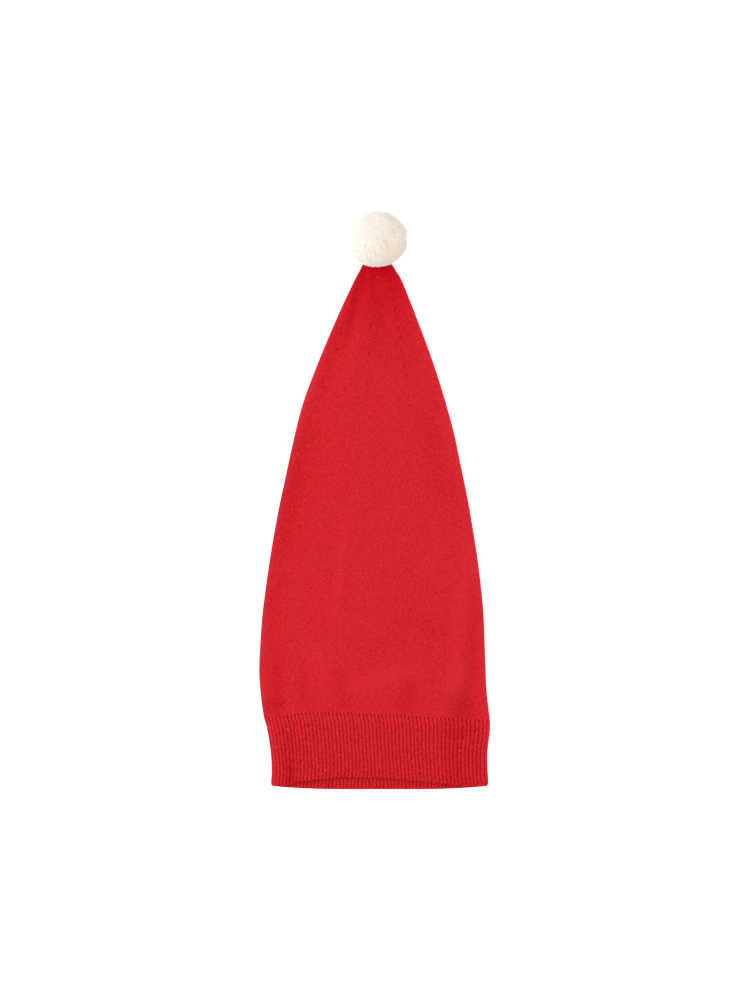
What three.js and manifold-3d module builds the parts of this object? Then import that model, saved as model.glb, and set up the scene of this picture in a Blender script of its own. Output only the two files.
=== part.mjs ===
// A knitted santa hat laid flat: a tapered plain-knit crown, a ribbed band round its rim and a yarn pompom
// sewn to its tip. Millimetres, +Z up. The hat lies on the plane Z = 0 with its rim towards -Y and its
// pompom towards +Y, and the origin is the middle of the hat's plan on that plane.
import * as THREE from "three";
import { mergeVertices } from "three/addons/utils/BufferGeometryUtils.js";
import Module from "manifold-3d";

const wasm = await Module();
wasm.setup();

// Driving dimensions
const HAT_LENGTH = 531;
const BACK_DROP = 3.3; // the lower layer's rim hangs this far past the rim's corners
const BAND_HEIGHT = 61;
const TIP_ALONG = 488; // the crown's closed end, measured from the rim's corners
const TIP_ROUNDING = 9;
const CROWN_WALL = 2;
const TIP_WALL = 3.2; // the knit is bunched where the tip is drawn closed
const BAND_WALL = 2.2;
const PIECE_GAP = 0.3;
const POMPOM_DIAMETER = 53;

// Ribs and gathers
const RIB_COUNT = 118;
const RIB_DEPTH = 1;
const INNER_RIB_SHARE = 0.5; // the inside of the band is ribbed less deeply
const GATHER_COUNT = 12;
const TIP_GATHER_DEPTH = 1.2;
const TIP_GATHER_REACH = 75;
const BAND_GATHER_DEPTH = 0.7;
const BAND_GATHER_REACH = 32;

// Side folds: how far the rounded edge reaches in from the fold, above and below
const UPPER_FOLD_REACH = 7;
const LOWER_FOLD_REACH = 6;
const FOLD_HEIGHT_SHARE = 0.44;
const DOME_FALL = 0.36; // share of its height that the upper layer loses from the middle to the fold

// The upper layer is drawn up towards the crown. One row for each place across it, from the left fold (-1) to the
// right (1): how far the rim and the join of band and crown lie past their distances along the hat.
const DRAWN_UP = [
  { across: -1, rim: 0, join: 1.8 },
  { across: -0.88, rim: 0.4, join: 3.2 },
  { across: -0.8, rim: 2.2, join: 4.6 },
  { across: -0.6, rim: 5.2, join: 6.6 },
  { across: -0.4, rim: 7.6, join: 6.8 },
  { across: -0.1, rim: 7.5, join: 5.8 },
  { across: 0.2, rim: 6, join: 4.6 },
  { across: 0.42, rim: 4.1, join: 3 },
  { across: 0.6, rim: 2, join: 1.8 },
  { across: 0.76, rim: 0.5, join: 1 },
  { across: 1, rim: 0, join: 0 },
];
const DRAWN_COLUMNS = ["rim", "join"];
const DRAWN_REACH = 190; // past this distance along the hat nothing is drawn up

// Mesh fineness
const CROWN_POINTS = 48;
const CROWN_RINGS = 18;
const TIP_RINGS = 3;
const BAND_RINGS = 4;
const CURVE_STEPS = 900;

// One row for each section, by its distance along the hat from the rim's corners: the X of the left and right
// folds, the Z of the underside and the Z of the upper layer's highest line.
const SECTIONS = [
  { along: 0, left: -95.4, right: 105, floor: 0, crest: 11.2 },
  { along: 12, left: -94.7, right: 104.4, floor: 0, crest: 11.8 },
  { along: 30, left: -95.7, right: 104.1, floor: 0, crest: 12.8 },
  { along: 52, left: -98.7, right: 106.4, floor: 0, crest: 13.7 },
  { along: 61, left: -101, right: 106.6, floor: 0, crest: 14 },
  { along: 88, left: -104.8, right: 103.2, floor: 0, crest: 14.8 },
  { along: 113, left: -105.7, right: 102.1, floor: 0, crest: 15.1 },
  { along: 164, left: -102.2, right: 99.9, floor: 0, crest: 15.2 },
  { along: 236, left: -91.4, right: 90.7, floor: 0, crest: 15 },
  { along: 318, left: -74.2, right: 74.6, floor: 0, crest: 14.8 },
  { along: 357, left: -63.9, right: 64.4, floor: 0, crest: 14.6 },
  { along: 396, left: -49.2, right: 51.6, floor: 0, crest: 14.6 },
  { along: 436, left: -32, right: 36.7, floor: 0.8, crest: 14.7 },
  { along: 466, left: -18, right: 24.5, floor: 2.8, crest: 14.9 },
  { along: 478, left: -11.6, right: 17, floor: 3.8, crest: 15 },
  { along: 488, left: -7.6, right: 13, floor: 4.6, crest: 15.2 },
];
const SECTION_COLUMNS = ["left", "right", "floor", "crest"];

// Soft ridges (height above 0) and valleys (below 0) of the upper layer, each along a line from one point
// of the plan to another.
const FOLDS = [
  { name: "right ridge", startX: 85, startAlong: 205, endX: 78, endAlong: 100, width: 10, height: 2.6 },
  { name: "ridge foot", startX: 76, startAlong: 94, endX: 62, endAlong: 62, width: 11, height: 2.4 },
  { name: "right slope", startX: 96, startAlong: 150, endX: 86, endAlong: 54, width: 10, height: -2.2 },
  { name: "band roll", startX: -80, startAlong: 58, endX: -80, endAlong: 4, width: 9, height: -1.8 },
  { name: "puff over band", startX: -22, startAlong: 96, endX: 38, endAlong: 108, width: 12, height: 1.8 },
  { name: "left lobe", startX: -57, startAlong: 112, endX: -44, endAlong: 80, width: 10, height: 1.8 },
  { name: "long crease", startX: -26, startAlong: 232, endX: -36, endAlong: 150, width: 10, height: 1.2 },
  { name: "left hollow", startX: -62, startAlong: 320, endX: -80, endAlong: 235, width: 10, height: -1.2 },
];

// The section table as a smooth function of the distance along the hat.
const sectionCurve = new THREE.CubicInterpolant(
  SECTIONS.map((row) => row.along),
  SECTIONS.flatMap((row) => SECTION_COLUMNS.map((column) => row[column])),
  SECTION_COLUMNS.length,
);

function sectionAt(along) {
  const [left, right, floor, crest] = sectionCurve.evaluate(along);
  return { along, middle: (left + right) / 2, half: (right - left) / 2, floor: Math.max(0, floor), crest };
}

const drawnCurve = new THREE.CubicInterpolant(
  DRAWN_UP.map((row) => row.across),
  DRAWN_UP.flatMap((row) => DRAWN_COLUMNS.map((column) => row[column])),
  DRAWN_COLUMNS.length,
);

// How far the upper layer is drawn up at one place of the hat.
function drawnUp(across, along) {
  const [rim, join] = drawnCurve.evaluate(across);
  const onBand = THREE.MathUtils.lerp(rim, join, Math.min(1, along / BAND_HEIGHT));
  return onBand * (1 - THREE.MathUtils.smoothstep(along, BAND_HEIGHT, DRAWN_REACH));
}

function foldHeight(x, along) {
  const point = new THREE.Vector2(x, along);
  let height = 0;
  for (const fold of FOLDS) {
    const start = new THREE.Vector2(fold.startX, fold.startAlong);
    const line = new THREE.Vector2(fold.endX, fold.endAlong).sub(start);
    const share = THREE.MathUtils.clamp(point.clone().sub(start).dot(line) / line.lengthSq(), 0, 1);
    const distance = point.distanceTo(start.addScaledVector(line, share));
    height += fold.height * Math.exp(-((distance / fold.width) ** 2));
  }
  return height;
}

// Quarter of an ellipse at the side folds: 1 over the middle of the hat, falling to 0 at the fold.
function edgeArc(across, reachShare) {
  const past = Math.max(0, (Math.abs(across) - 1 + reachShare) / reachShare);
  return Math.sqrt(Math.max(0, 1 - past * past));
}

// The closed outline of the hat at one section, in from its outer face by inset: from the left fold over the
// upper layer to the right fold, and back under the lower layer.
class SectionOutline extends THREE.Curve {
  constructor(along, inset) {
    super();
    Object.assign(this, sectionAt(along));
    this.inset = inset;
    this.arcLengthDivisions = CURVE_STEPS;
  }

  getPoint(share, target = new THREE.Vector3()) {
    const angle = Math.PI * (1 - 2 * share);
    const across = Math.cos(angle);
    const half = this.half - this.inset;
    const x = this.middle + half * across;
    const height = this.crest - this.floor;
    const foldZ = this.floor + FOLD_HEIGHT_SHARE * height * (1 - DOME_FALL);
    if (angle >= 0) {
      const arc = edgeArc(across, Math.min(1, (UPPER_FOLD_REACH - this.inset) / half));
      const crest = this.floor + height * (1 - DOME_FALL * across * across) - this.inset;
      const z = foldZ + (crest + foldHeight(x, this.along) - foldZ) * arc;
      return target.set(x, this.along + drawnUp(across, this.along), z);
    }
    const arc = edgeArc(across, Math.min(1, (LOWER_FOLD_REACH - this.inset) / half));
    const atFold = drawnUp(Math.sign(across), this.along) * across * across;
    const hanging = 1 - THREE.MathUtils.smoothstep(this.along, 0, DRAWN_REACH);
    const drop = BACK_DROP * (1 - across * across) * hanging;
    return target.set(x, this.along + atFold - drop, foldZ - (foldZ - this.floor - this.inset) * arc);
  }
}

function middleOf(points) {
  return points.reduce((sum, point) => sum.add(point), new THREE.Vector3()).divideScalar(points.length);
}

// A ring made from the points round one section, the last of which repeats the first. Each point sinks below the
// outline by dip(its number), and the ring shrinks by scale towards its middle.
function ring(closedOutline, dip, scale = 1) {
  const outline = closedOutline.slice(0, -1);
  const middle = middleOf(outline);
  return outline.map((point, i) => {
    const before = outline.at(i - 1);
    const after = closedOutline[i + 1];
    const inward = new THREE.Vector3(after.z - before.z, 0, before.x - after.x).normalize();
    return point.clone().addScaledVector(inward, dip(i)).lerp(middle, 1 - scale);
  });
}

// Joins rings, or single points at closed ends, into one surface. A closed loft joins its last ring to its first.
function loft(rings, closed) {
  const positions = [];
  const starts = rings.map((points) => {
    const start = positions.length / 3;
    points.forEach((point) => positions.push(point.x, point.y, point.z));
    return start;
  });
  const triangles = [];
  const joins = closed ? rings.length : rings.length - 1;
  for (let r = 0; r < joins; r += 1) {
    const next = (r + 1) % rings.length;
    const [here, there] = [rings[r].length, rings[next].length];
    for (let i = 0; i < Math.max(here, there); i += 1) {
      const a = starts[r] + (i % here);
      const b = starts[r] + ((i + 1) % here);
      const c = starts[next] + ((i + 1) % there);
      const d = starts[next] + (i % there);
      if (here > 1) triangles.push(a, b, c);
      if (there > 1) triangles.push(a, c, d);
    }
  }
  const geometry = new THREE.BufferGeometry();
  geometry.setAttribute("position", new THREE.Float32BufferAttribute(positions, 3));
  geometry.setIndex(triangles);
  return geometry;
}

// How deep the crown's gathers are at a distance along it: drawn in at the tip and where the band grips it.
function gatherDepth(along) {
  const nearTip = THREE.MathUtils.smoothstep(along, TIP_ALONG - TIP_GATHER_REACH, TIP_ALONG);
  const nearBand = 1 - THREE.MathUtils.smoothstep(along, BAND_HEIGHT, BAND_HEIGHT + BAND_GATHER_REACH);
  return TIP_GATHER_DEPTH * nearTip + BAND_GATHER_DEPTH * nearBand;
}

// The wall from the band to the tip.
function crownWall(along) {
  const bunched = THREE.MathUtils.smoothstep(along, TIP_ALONG - TIP_GATHER_REACH, TIP_ALONG);
  return THREE.MathUtils.lerp(CROWN_WALL, TIP_WALL, bunched);
}

// One ring of the crown, in from its outer face by inset, and rounded off where the end of that face is near.
function crownRing(along, inset, end) {
  const past = THREE.MathUtils.clamp((along - end + TIP_ROUNDING) / TIP_ROUNDING, 0, 1);
  const depth = gatherDepth(along);
  const dip = (i) => {
    const turn = (2 * Math.PI * i) / CROWN_POINTS;
    return depth * Math.abs(Math.sin(turn)) * (0.5 - 0.5 * Math.cos(GATHER_COUNT * turn));
  };
  const outline = new SectionOutline(along, inset).getPoints(CROWN_POINTS);
  return ring(outline, dip, Math.sqrt(1 - past * past));
}

// Rings from the band to the tip, closer together in the rounded tip, and the point that closes them. insetAt
// gives how far in from the outer face they lie at each distance along the hat.
function crownSide(insetAt) {
  const start = BAND_HEIGHT + PIECE_GAP / 2;
  const end = TIP_ALONG - insetAt(TIP_ALONG);
  const rounding = end - TIP_ROUNDING;
  const stations = [];
  for (let i = 0; i <= CROWN_RINGS; i += 1) {
    stations.push(THREE.MathUtils.lerp(start, rounding, i / CROWN_RINGS));
  }
  for (let i = 1; i <= TIP_RINGS; i += 1) {
    stations.push(rounding + TIP_ROUNDING * Math.sin((Math.PI / 2) * (i / (TIP_RINGS + 1))));
  }
  const { middle, floor, crest } = sectionAt(end);
  const rings = stations.map((along) => crownRing(along, insetAt(along), end));
  return [...rings, [new THREE.Vector3(middle, end, (floor + crest) / 2)]];
}

function crownGeometry() {
  const outside = crownSide(() => 0);
  const inside = crownSide(crownWall);
  return loft([...inside.reverse(), ...outside], false);
}

// Rings from the rim to the crown, with every other point sunk to make the valley between two ribs.
function bandSide(inset, depth) {
  const rings = [];
  for (let i = 0; i < BAND_RINGS; i += 1) {
    const along = ((BAND_HEIGHT - PIECE_GAP / 2) * i) / (BAND_RINGS - 1);
    const outline = new SectionOutline(along, inset).getSpacedPoints(2 * RIB_COUNT);
    rings.push(ring(outline, (point) => (point % 2) * depth));
  }
  return rings;
}

function bandGeometry() {
  const outside = bandSide(0, RIB_DEPTH);
  const inside = bandSide(BAND_WALL, RIB_DEPTH * INNER_RIB_SHARE);
  return loft([...inside.reverse(), ...outside], true);
}

// Pompom: locks of cut yarn round a ball, with a seat where the crown's tip goes in
const POMPOM_RADIUS = POMPOM_DIAMETER / 2;
const POMPOM_MIDDLE = new THREE.Vector3(3.9, HAT_LENGTH - BACK_DROP - POMPOM_RADIUS, 25);
const HEAD_RADIUS = 22;
const HEAD_DETAIL = 2;
const LOCK_COUNT = 76;
const LOCK_SIDES = 5;
const LOCK_TIP_RADIUS = 5;
const LOCK_ROOT_RADIUS = 2;
const LOCK_ROOT = 16;
const LOCK_CROWN = 1.9; // height of a lock's rounded end
const LOCK_UNEVENNESS = 1.3;
const SEAT_CLEARANCE = 0.4;
const SEAT_ANGLE = 0.5; // no lock grows nearer than this, in radians, to the middle of the seat
const GOLDEN_ANGLE = Math.PI * (3 - Math.sqrt(5));

function solidOf(geometry) {
  const bare = geometry.clone();
  bare.deleteAttribute("normal");
  bare.deleteAttribute("uv");
  const merged = mergeVertices(bare, 1e-4);
  return new wasm.Manifold(
    new wasm.Mesh({
      numProp: 3,
      vertProperties: merged.attributes.position.array,
      triVerts: new Uint32Array(merged.index.array),
    }),
  );
}

function geometryOf(solid) {
  const { numProp, vertProperties, triVerts } = solid.getMesh();
  const geometry = new THREE.BufferGeometry();
  const flat = new THREE.BufferAttribute(new Float32Array(vertProperties), numProp);
  geometry.setAttribute("position", flat);
  geometry.setIndex(new THREE.BufferAttribute(new Uint32Array(triVerts), 1));
  return geometry;
}

// Directions spread evenly over a sphere along a golden-angle spiral that starts at +Y.
function lockDirection(i) {
  const y = 1 - (2 * i) / (LOCK_COUNT - 1);
  const round = Math.sqrt(Math.max(0, 1 - y * y));
  return new THREE.Vector3(round * Math.cos(i * GOLDEN_ANGLE), y, round * Math.sin(i * GOLDEN_ANGLE));
}

function pompomLock(i) {
  const direction = lockDirection(i);
  const reach = POMPOM_RADIUS - LOCK_UNEVENNESS * (0.5 - 0.5 * Math.cos(i * i));
  const profile = [
    new THREE.Vector2(0, LOCK_ROOT),
    new THREE.Vector2(LOCK_ROOT_RADIUS, LOCK_ROOT),
    new THREE.Vector2(LOCK_TIP_RADIUS, reach - LOCK_CROWN),
    new THREE.Vector2(0, reach),
  ];
  const lock = new THREE.LatheGeometry(profile, LOCK_SIDES);
  lock.applyQuaternion(new THREE.Quaternion().setFromUnitVectors(new THREE.Vector3(0, 1, 0), direction));
  return lock.translate(POMPOM_MIDDLE.x, POMPOM_MIDDLE.y, POMPOM_MIDDLE.z);
}

// The end of the crown as a solid, grown by the seat's clearance.
function tipSolid() {
  const rings = crownSide(() => -SEAT_CLEARANCE).slice(CROWN_RINGS - 1);
  return solidOf(loft([[middleOf(rings[0])], ...rings], false));
}

function pompomGeometry() {
  const head = new THREE.IcosahedronGeometry(HEAD_RADIUS, HEAD_DETAIL);
  const [tip] = crownSide(() => 0).at(-1);
  const seat = tip.clone().sub(POMPOM_MIDDLE);
  let solid = solidOf(head.translate(POMPOM_MIDDLE.x, POMPOM_MIDDLE.y, POMPOM_MIDDLE.z));
  for (let i = 0; i < LOCK_COUNT; i += 1) {
    if (lockDirection(i).angleTo(seat) > SEAT_ANGLE) solid = solid.add(solidOf(pompomLock(i)));
  }
  const ground = new THREE.BoxGeometry(POMPOM_DIAMETER * 2, POMPOM_DIAMETER * 2, POMPOM_DIAMETER);
  ground.translate(POMPOM_MIDDLE.x, POMPOM_MIDDLE.y, -POMPOM_DIAMETER / 2);
  return geometryOf(solid.subtract(tipSolid()).subtract(solidOf(ground)));
}

function piece(name, geometry, color) {
  const material = new THREE.MeshStandardMaterial({ color, roughness: 0.95, metalness: 0 });
  const mesh = new THREE.Mesh(geometry, material);
  mesh.name = name;
  return mesh;
}

const hat = new THREE.Group();
hat.add(
  piece("crown", crownGeometry(), 0xd3262f),
  piece("rib_band", bandGeometry(), 0xc7222b),
  piece("pompom", pompomGeometry(), 0xf4eadb),
);
hat.position.y = BACK_DROP - HAT_LENGTH / 2;

export default hat;
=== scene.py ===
"""Dresses a knitted santa hat that lies flat: a plain-knit crown, a ribbed band and a pompom of cut yarn.

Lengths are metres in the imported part's frame: +Z is up from the floor, and +Y runs from rim to pompom.
"""

import math
from collections import namedtuple

import bmesh
import bpy
import numpy as np
from bpy.props import FloatProperty, FloatVectorProperty, IntProperty, PointerProperty
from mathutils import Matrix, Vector, noise


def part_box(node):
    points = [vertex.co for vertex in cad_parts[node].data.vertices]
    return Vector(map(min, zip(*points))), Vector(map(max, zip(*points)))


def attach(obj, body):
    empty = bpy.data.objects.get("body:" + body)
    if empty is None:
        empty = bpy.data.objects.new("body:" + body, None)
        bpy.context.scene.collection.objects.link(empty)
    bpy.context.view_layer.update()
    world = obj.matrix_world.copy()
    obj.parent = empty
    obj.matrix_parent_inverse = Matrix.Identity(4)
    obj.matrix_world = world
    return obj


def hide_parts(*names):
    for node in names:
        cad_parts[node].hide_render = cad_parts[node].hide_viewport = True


bl_info = {
    "name": "Knitted Santa Hat",
    "version": (1, 0, 0),
    "blender": (4, 5, 0),
    "location": "View3D > Sidebar > Santa Hat",
    "description": "Makes a flat-laid knitted hat with a ribbed band and a yarn pompom",
    "category": "Object",
}

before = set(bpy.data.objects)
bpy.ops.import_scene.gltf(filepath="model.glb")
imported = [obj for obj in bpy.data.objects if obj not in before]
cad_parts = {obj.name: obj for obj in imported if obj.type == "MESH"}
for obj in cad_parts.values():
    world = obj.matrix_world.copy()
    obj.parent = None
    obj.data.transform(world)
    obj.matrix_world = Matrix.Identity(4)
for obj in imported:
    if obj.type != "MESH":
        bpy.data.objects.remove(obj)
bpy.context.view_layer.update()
BAND_LOW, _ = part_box("rib_band")
_, CROWN_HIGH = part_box("crown")
POMPOM_LOW, POMPOM_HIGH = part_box("pompom")
POMPOM_MIDDLE = np.array((POMPOM_LOW + POMPOM_HIGH) / 2)
BODY = "root"
SEED = 24
TURN = 2 * math.pi

# The rim's corners lie on the line Y = RIM_Y, and "along" is the distance from there towards the tip.
BACK_DROP = 0.0033
BACK_RIM_DROP = 0.0029
RIM_Y = BAND_LOW.y + BACK_DROP
TIP_ALONG = CROWN_HIGH.y - RIM_Y
TIP_ROUNDING = 0.009

# Sections: distance along, X of the left and right folds, Z of the underside and of the upper layer's crest
SECTION_ALONG, *SECTION_COLUMNS = np.array([
    (0.000, -0.0954, 0.1050, 0.0000, 0.0088),
    (0.012, -0.0947, 0.1044, 0.0000, 0.0099),
    (0.030, -0.0957, 0.1041, 0.0000, 0.0114),
    (0.052, -0.0992, 0.1064, 0.0000, 0.0127),
    (0.061, -0.1019, 0.1062, 0.0000, 0.0130),
    (0.088, -0.1053, 0.1032, 0.0000, 0.0135),
    (0.113, -0.1059, 0.1021, 0.0000, 0.0137),
    (0.164, -0.1025, 0.1000, 0.0000, 0.0138),
    (0.236, -0.0916, 0.0908, 0.0000, 0.0138),
    (0.318, -0.0745, 0.0747, 0.0000, 0.0138),
    (0.357, -0.0642, 0.0644, 0.0000, 0.0138),
    (0.396, -0.0492, 0.0516, 0.0000, 0.0139),
    (0.436, -0.0320, 0.0367, 0.0008, 0.0143),
    (0.466, -0.0180, 0.0245, 0.0028, 0.0149),
    (0.478, -0.0116, 0.0170, 0.0038, 0.0150),
    (0.488, -0.0076, 0.0130, 0.0046, 0.0152),
]).T
SIDE_FOLD_REACH = 0.0055
SIDE_FOLD_POWER = 3.0
SIDE_FOLD_LEVEL = 0.44
DOME_FALL = 0.14

# From the left fold (-1) to the right (1): how far the upper layer is drawn up at the rim and at the join
DRAWN_ACROSS, DRAWN_RIM, DRAWN_JOIN = np.array([
    (-1.00, 0.0000, 0.0018),
    (-0.88, 0.0006, 0.0032),
    (-0.84, 0.0014, 0.0040),
    (-0.78, 0.0033, 0.0048),
    (-0.70, 0.0048, 0.0059),
    (-0.62, 0.0060, 0.0066),
    (-0.50, 0.0071, 0.0068),
    (-0.32, 0.0086, 0.0067),
    (-0.10, 0.0080, 0.0058),
    (0.10, 0.0071, 0.0050),
    (0.26, 0.0060, 0.0042),
    (0.42, 0.0044, 0.0030),
    (0.54, 0.0032, 0.0022),
    (0.70, 0.0014, 0.0013),
    (0.80, 0.0005, 0.0008),
    (1.00, 0.0000, 0.0000),
]).T
DRAWN_REACH = 0.190

# The lower layer's rim curls up under the upper layer's rim, and the rim's corners are rounded.
RIM_CURL = 0.0029
CURL_ACROSS = (0.80, 0.45)
CURL_ALONG = (0.009, 0.026)
CORNER_RADIUS = 0.0026
CORNER_REACH = 0.012

# Soft folds of the upper layer, each along a line: X and distance along of its start and end, then the fold's
# width and its height, which is below 0 in a valley
FOLDS = [
    # Right side
    (0.087, 0.235, 0.078, 0.086, 0.009, 0.0026),
    (0.084, 0.114, 0.066, 0.08, 0.0085, 0.0026),
    (0.095, 0.195, 0.083, 0.06, 0.008, -0.0022),
    (0.069, 0.065, 0.094, 0.074, 0.009, -0.0034),
    (0.058, 0.05, 0.099, 0.052, 0.0085, -0.0028),
    (0.072, 0.052, 0.084, -0.01, 0.012, -0.0018),
    # Band and rim
    (-0.0935, 0.07, -0.09, -0.03, 0.006, 0.0024),
    (-0.079, 0.066, -0.077, -0.03, 0.005, -0.0015),
    (-0.077, 0.024, -0.0738, -0.03, 0.003, -0.0026),
    (0.065, 0.001, 0.081, -0.001, 0.006, -0.0013),
    # Puff over the band, and hollows round it
    (-0.03, 0.083, 0.052, 0.107, 0.0095, 0.0024),
    (-0.028, 0.066, 0.004, 0.072, 0.006, -0.001),
    (0.000, 0.15, 0.075, 0.138, 0.023, -0.0011),
    (-0.02, 0.116, 0.03, 0.126, 0.013, -0.001),
    # Lobe and valleys above the join
    (-0.054, 0.134, -0.039, 0.078, 0.0085, 0.0018),
    (-0.066, 0.104, -0.06, 0.06, 0.0065, -0.0014),
    (-0.087, 0.13, -0.089, 0.06, 0.0068, -0.0022),
    (-0.104, 0.066, -0.076, 0.072, 0.0085, -0.0028),
    (-0.029, 0.106, -0.027, 0.058, 0.007, -0.0018),
    (0.036, 0.1, 0.026, 0.056, 0.009, -0.0028),
    # Long crease, and hollows beside it
    (-0.023, 0.255, -0.038, 0.135, 0.0058, 0.0016),
    (-0.055, 0.35, -0.088, 0.205, 0.0135, -0.0028),
    (-0.079, 0.24, -0.096, 0.112, 0.007, -0.0014),
    (-0.032, 0.44, -0.054, 0.34, 0.008, -0.0017),
    (0.044, 0.365, 0.068, 0.25, 0.01, -0.0014),
    (0.058, 0.24, 0.058, 0.18, 0.02, 0.0006),
    # Tip and upper edges
    (-0.006, 0.486, -0.03, 0.39, 0.005, -0.0023),
    (-0.024, 0.448, -0.04, 0.385, 0.0065, -0.0008),
    (0.03, 0.446, 0.047, 0.392, 0.006, 0.001),
    (0.064, 0.35, 0.075, 0.28, 0.006, 0.0012),
    (-0.047, 0.388, -0.057, 0.348, 0.0055, 0.0012),
    (-0.012, 0.435, -0.025, 0.365, 0.006, 0.001),
    (0.008, 0.464, 0.001, 0.392, 0.0055, -0.002),
    (0.01, 0.436, 0.014, 0.385, 0.0055, -0.001),
    (0.02, 0.42, 0.034, 0.382, 0.008, -0.0012),
    (0.01, 0.474, 0.008, 0.45, 0.005, 0.0012),
]
FOLD_FADE_POWER = 3

# The knit's small unevenness, which the crown loses near its join with the band
UNEVEN_SIZE = 0.034
UNEVEN_HEIGHT = 0.00030
JOIN_UNEVEN_SHARE = 0.2
JOIN_UNEVEN_REACH = 0.02

# Painted light and shade: the knit's red is paler on ridges and along the side folds, and deeper in fold
# valleys.
FOLD_PAINTED_LIGHT = 105.0
LEFT_EDGE_PAINTED_LIGHT = 0.36
LEFT_EDGE_LIGHT_REACH = (0.20, 0.32)
RIGHT_EDGE_PAINTED_LIGHT = 0.34
EDGE_REACH = 0.009

# Gathers at the closed tip, their sways (waves round the hat, amount), and painted shade deepening the red
# near the tip
GATHER_COUNT = 11
GATHER_SWAYS = [(2, 1.2), (5, 0.8)]
GATHER_DEPTH = 0.0006
GATHER_REACH = 0.075
TIP_SHADE_START = 0.375
TIP_SHADE_POWER = 1.8
TIP_SHADE_TINT = (0.89, 0.07, 0.36, 1.0)

# Panels of the crown, and the marks where they are narrowed, with ends in shares of their spacing
PANEL_COUNT = 7
PANEL_START = 26 / 322
PANEL_WALES = 97
MARK_SPACING = 0.0088
MARK_PHASE = 17.37
MARK_SLANT = 0.0032
MARK_WIDTH = 0.0011
MARK_ENDS = (0.12, 0.34)
MARK_START = 0.335
MARK_FULL = 0.390
MARK_STRENGTHS = (0.14, 1.4)

# The front ribs lean and spread: shares of the way round the band, and the ribs' shifts at the join and rim
RIB_PLACES = [0.0, 0.08, 0.35, 0.5, 1.0]
JOIN_RIB_SHIFTS = [0.0, -0.0025, -0.0108, 0.0, 0.0]
RIM_RIB_SHIFTS = [0.0, -0.0055, -0.0033, 0.0, 0.0]
RIB_ROUNDNESS = 2.2
INNER_RIB_SHARE = 0.9

# Rib valleys deepen before the join and close at it, and so does their painted shade. The lip dips at each
# valley.
# Painted light pales the band's top, and painted shade deepens the red by the rim.
NEAR_JOIN = 0.0035
AT_JOIN = 0.0012
JOIN_DEEPER = 0.7
JOIN_SHALLOWER = 1.3
JOIN_SHADE = 0.8
LIP_DROP = 0.0011
LIP_DIP = 0.0008
TOP_PAINTED_LIGHT = 0.22
TOP_LIGHT_START = 0.014
TOP_LIGHT_FULL = 0.003
RIM_PAINTED_SHADE = 0.06
RIM_SHADE_REACH = 0.009

# Mesh fineness
CROWN_POINTS = 322
CROWN_RINGS = 196
CROWN_INNER_RINGS = 64
TIP_RINGS = 5
RIB_POINTS = 8
BAND_RINGS = 40
BAND_INNER_RINGS = 26
LIP_RINGS = 5
OUTLINE_STEPS = 720
CORE_SUBDIVISIONS = 5
STRAND_SIDES = 3
FLOOR_SIDES = 96

# Stitches. A wander has the size of its patches and its share of a stitch.
WALE_WANDER = (0.005, 0.22)
COURSE_WANDER = (0.004, 0.35)
ARMS_PER_WALE = 2
ARM_RISE = 1.1
ARM_ROUNDNESS = 0.7
LOOP_SWELL = 0.16
PIECES_PER_COURSE = 1.5
SET_APART = 0.35

# Light and dark of the knit, its painted shade, its fuzz of dull fibres (thinned by painted shade) and its
# stray lint
KnitLook = namedtuple("KnitLook", "sunk_share speckle marked")
PLAIN_KNIT = KnitLook(0.45, 0.43, True)
RIB_KNIT = KnitLook(0.50, 0.42, False)
STITCH_DEPTH = 0.00030
BASE_LIGHT = 0.42
STITCH_LIGHT = 0.18
FIBRE_SIZE = 0.0006
FIBRE_DETAIL = 1.0
FIBRE_RANGE = (0.3, 0.7)
FIBRE_SPECKLE = 0.3
FUZZ_LEAN = 0.8
FUZZ_CHANCES = (-0.02, 1.18)
FUZZ_SHARE = 0.36
FUZZ_DEPTHS = (-0.3, 0.9)
FUZZ_SCALES = (1.32, 0.2)
LINT_CHANCE = 0.9988
LINT_SHARE = 0.24
KNIT_ROUGHNESS = (0.88, 0.99)
KNIT_FIBRE_DEPTH = 0.00010

# Plan of the pompom: degrees anticlockwise from +X, and the radius. The first rows come again at the end.
PLAN_ANGLES, PLAN_RADII = np.array([
    (-175, 0.0262), (-160, 0.0290), (-140, 0.0282), (-120, 0.0266), (-100, 0.0254), (-85, 0.0247),
    (-55, 0.0253), (-30, 0.0258), (-12, 0.0267), (0, 0.0252), (20, 0.0268), (40, 0.0256),
    (70, 0.0258), (100, 0.0260), (130, 0.0259), (150, 0.0260), (170, 0.0246),
]).T
PLAN_ANGLES = np.append(PLAN_ANGLES, PLAN_ANGLES[:3] + 360)
PLAN_RADII = np.append(PLAN_RADII, PLAN_RADII[:3])
POMPOM_RADIUS = PLAN_RADII.mean()
PLAN_START = -160

# Clumps of yarn ends: height, and the size and shift of their noise in shares of the ball's radius
CLUMPS = [(0.0003, 0.24, 1.7), (0.00015, 0.10, 3.0)]

# Creases between clumps, their breaks, and the hollow at the far right, in shares of the ball's radius
CREASE_SIZE = 0.048
CREASE_WIDTH = 0.26
CREASE_LEAN = 0.40
CREASE_FULL = 0.95
BREAK_SIZE = 0.12
BREAK_SHIFT = 5.0
BREAKS = (-0.35, 0.25)
HOLLOW = Vector((0.45, 0.65, 0.61))
HOLLOW_RADIUS = 0.20
HOLLOW_FULL = 0.06
HOLLOW_DEPTH = 1.5
HOLLOW_GRAIN = 0.09
HOLLOW_BREAK = 0.6

# Painted light: a lit-side cream on the left and far side. Painted shade darkens the sides, higher at the
# right
LIGHT_WAY = np.array((-0.85, 0.40, 0.0))
LIGHT_RANGE = (-0.6, 1.3)
SIDE_SHADE = 0.35
SIDE_SHADE_RIGHT = 0.45
SIDE_TOP = 0.82
SIDE_TOP_RIGHT = 0.13
SIDE_FULL = 0.12
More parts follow.
